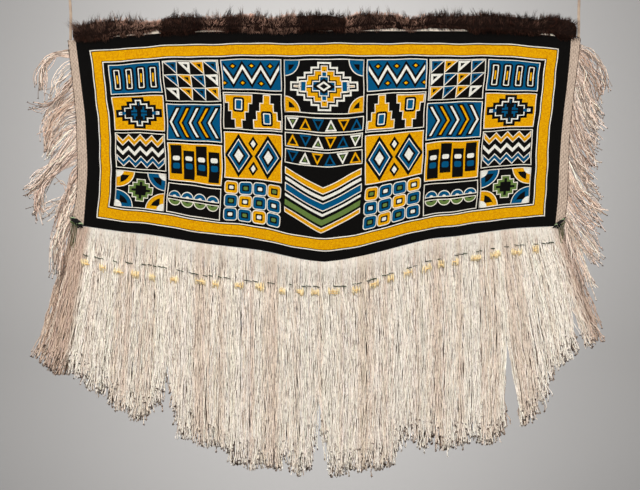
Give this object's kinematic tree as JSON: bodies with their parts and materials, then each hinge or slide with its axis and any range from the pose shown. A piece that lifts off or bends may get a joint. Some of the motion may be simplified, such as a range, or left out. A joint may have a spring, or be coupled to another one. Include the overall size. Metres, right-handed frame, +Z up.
{
  "type": "chilkat blanket",
  "caption": "Twined ceremonial blanket with a fur strip along its top, wide woven borders, fringed sides and a long fringe, held face on by thongs at its top corners.",
  "frame": {"origin": "middle of the woven panel's top edge, in the middle of its thickness", "axes": "+Z up, +X towards the right edge as the woven face is looked at, -Y out of the woven face"},
  "size_m": [1.6887, 0.0399, 1.4085],
  "materials": {
    "woven_wool": "matt twined wool, black ground with yellow, blue, green and white areas",
    "hide": "matt, soft pale hide",
    "fur": "dense dark brown fur with lighter underfur",
    "warp_yarn": "matt two-ply yarn of wool over bark, pinkish beige",
    "cream_yarn": "matt two-ply cream wool",
    "green_yarn": "matt dyed wool",
    "yellow_yarn": "matt dyed wool",
    "black_yarn": "matt dyed wool",
    "thong": "soft tan hide"
  },
  "bodies": {
    "root": {"woven_panel": "woven_wool", "heading_strip": "hide", "fur_trim": "fur", "fringe_warp_ends": "warp_yarn", "fringe_front": "cream_yarn", "twined_row_green": "green_yarn", "twined_row_yellow": "yellow_yarn", "corner_yarn_black_left": "black_yarn", "corner_yarn_black_right": "black_yarn", "corner_yarn_green_left": "green_yarn", "corner_yarn_green_right": "green_yarn", "side_band_left": "warp_yarn", "side_band_right": "warp_yarn", "side_fringe_left": "warp_yarn", "side_fringe_right": "warp_yarn", "tie_left": "thong", "tie_right": "thong", "tie_knot_left": "thong", "tie_knot_right": "thong"}
  },
  "joints": []
}
